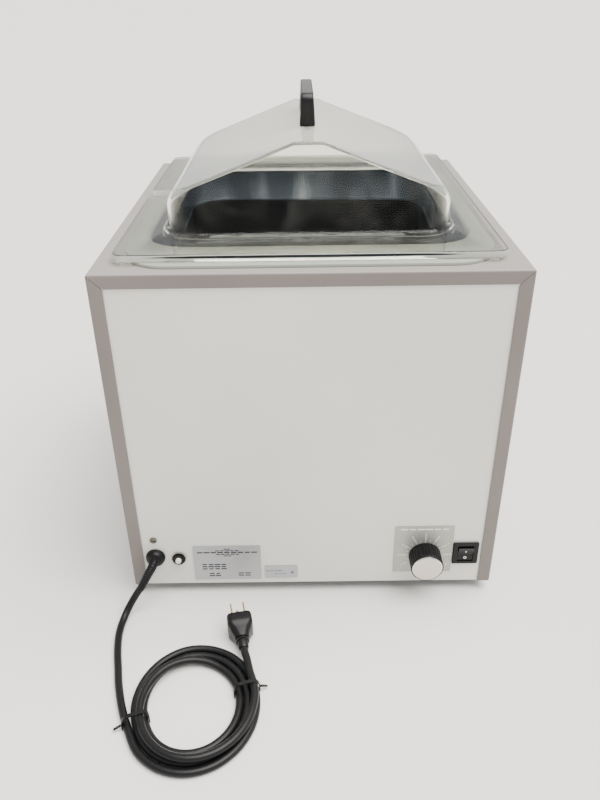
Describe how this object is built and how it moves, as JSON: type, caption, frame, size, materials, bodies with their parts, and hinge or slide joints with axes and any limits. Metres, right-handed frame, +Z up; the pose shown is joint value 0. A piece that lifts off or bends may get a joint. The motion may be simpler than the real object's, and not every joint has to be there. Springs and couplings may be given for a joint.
{
  "type": "water_bath",
  "caption": "Benchtop laboratory water bath: painted sheet casing, stainless tank, clear gable cover with bow handle, control knob and coiled mains cord.",
  "frame": {"origin": "On the bench, midway across the casing and midway between the knob face and the rear screw heads", "axes": "+X to the right of someone facing the controls, +Y towards the back, +Z up"},
  "size_m": [0.3899, 0.6415, 0.4813],
  "materials": {
    "painted_case": "textured powder coat",
    "painted_panel": "smooth light enamel",
    "galvanised_steel": "zinc coated sheet",
    "stainless": "deep-drawn, lightly brushed",
    "clear_acrylic": "clear formed sheet",
    "black_plastic": "moulded, satin",
    "white_plastic": "moulded, satin",
    "rubber": "moulded",
    "cord_jacket": "extruded cord jacket and moulded plug",
    "bright_metal": "nickel plated",
    "brushed_aluminium": "turned and brushed",
    "printed_plate": "printed anodised plate",
    "brass": "drawn",
    "glass_wool": "fibrous mat",
    "silicone": "moulded silicone",
    "copper": "drawn copper, insulated where it is a wire"
  },
  "bodies": {
    "casing": {"base_pan": "galvanised_steel", "breaker_body": "black_plastic", "breaker_nut": "bright_metal", "bulb_and_capillary": "copper", "bushing_nut": "bright_metal", "case_wrapper": "painted_case", "cord_coil": "cord_jacket", "cord_lead": "cord_jacket", "cord_tail": "cord_jacket", "cord_tie_left": "black_plastic", "cord_tie_right": "black_plastic", "foot_1": "rubber", "foot_2": "rubber", "foot_3": "rubber", "foot_4": "rubber", "foot_screw_1": "bright_metal", "foot_screw_2": "bright_metal", "foot_screw_3": "bright_metal", "foot_screw_4": "bright_metal", "front_panel": "painted_panel", "heat_shield": "galvanised_steel", "heater_mat": "silicone", "insulation_jacket": "glass_wool", "insulation_pad": "glass_wool", "nameplate": "printed_plate", "panel_screw": "bright_metal", "plug_blade_line": "brass", "plug_blade_neutral": "brass", "plug_body": "cord_jacket", "plug_ground_pin": "brass", "rating_label": "printed_plate", "rear_panel": "painted_case", "rear_screw_1": "bright_metal", "rear_screw_2": "bright_metal", "rear_screw_3": "bright_metal", "rear_screw_4": "bright_metal", "scale_plate": "printed_plate", "strain_relief": "rubber", "switch_housing": "black_plastic", "tank": "stainless", "tank_gasket": "rubber", "terminal_block": "white_plastic", "thermostat_body": "galvanised_steel", "wire_breaker": "copper", "wire_supply": "copper", "wire_switch": "copper", "wire_thermostat": "copper"},
    "cover": {"gable_cover": "clear_acrylic", "cover_handle": "black_plastic", "handle_screw_front": "bright_metal", "handle_screw_rear": "bright_metal"},
    "control_knob": {"thermostat_shaft": "bright_metal", "knob_body": "black_plastic", "knob_cap": "brushed_aluminium", "knob_set_screw": "galvanised_steel"},
    "rocker": {"switch_rocker": "black_plastic"},
    "reset_button": {"breaker_button": "white_plastic"},
    "shelf": {"diffuser_shelf": "stainless"}
  },
  "joints": [
    {"name": "cover_lift", "type": "slide", "parent": "casing", "child": "cover", "axis": [0, 0, 1], "range_m": [0, 0.15]},
    {"name": "knob_turn", "type": "hinge", "parent": "casing", "child": "control_knob", "pos_m": [0.1177, -0.20245, 0.05], "axis": [0, 1, 0], "range_deg": [0, 240]},
    {"name": "rocker_tip", "type": "hinge", "parent": "casing", "child": "rocker", "pos_m": [0.16025, -0.19935, 0.0521], "axis": [1, 0, 0], "range_deg": [-20, 0]},
    {"name": "reset_press", "type": "slide", "parent": "casing", "child": "reset_button", "axis": [0, 1, 0], "range_m": [0, 0.0022], "stiffness_N_per_m": 400},
    {"name": "shelf_lift", "type": "slide", "parent": "casing", "child": "shelf", "axis": [0, 0, 1], "range_m": [0, 0.13]}
  ]
}
